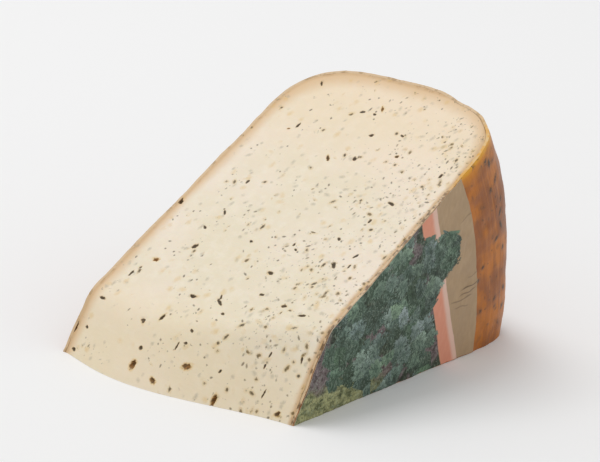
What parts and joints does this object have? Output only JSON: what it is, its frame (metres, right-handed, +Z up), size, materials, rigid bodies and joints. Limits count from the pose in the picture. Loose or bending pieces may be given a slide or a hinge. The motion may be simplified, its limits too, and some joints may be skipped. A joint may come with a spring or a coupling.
{
  "type": "cheese wedge",
  "caption": "Wedge cut from a round of semi-hard herb cheese, with a coloured rind coat on the rim and sides and a paper label on one side, for display on a board, counter or table.",
  "frame": {"origin": "centre of the bounding box's underside, on the surface that the wedge lies on", "axes": "+Y from the trimmed tip towards the wheel's rim, +X across the wedge towards the labelled side, about along the wheel's axis, +Z up"},
  "size_m": [0.1088, 0.1548, 0.0936],
  "materials": {
    "paste": "cream cheese paste with dark herb flecks, small holes and a darker zone beside the rind, slightly moist satin",
    "coat": "thin orange-brown cheese coating, semi-gloss, with herb flecks and faint upright streaks, bright yellow where it is cut",
    "label": "thin printed paper, satin, with a leaf pattern, a salmon stripe and a kraft-coloured border, lightly creased, no lettering"
  },
  "bodies": {
    "root": {"cheese": "paste", "rind_coat": "coat", "paper_label": "label"}
  },
  "joints": []
}
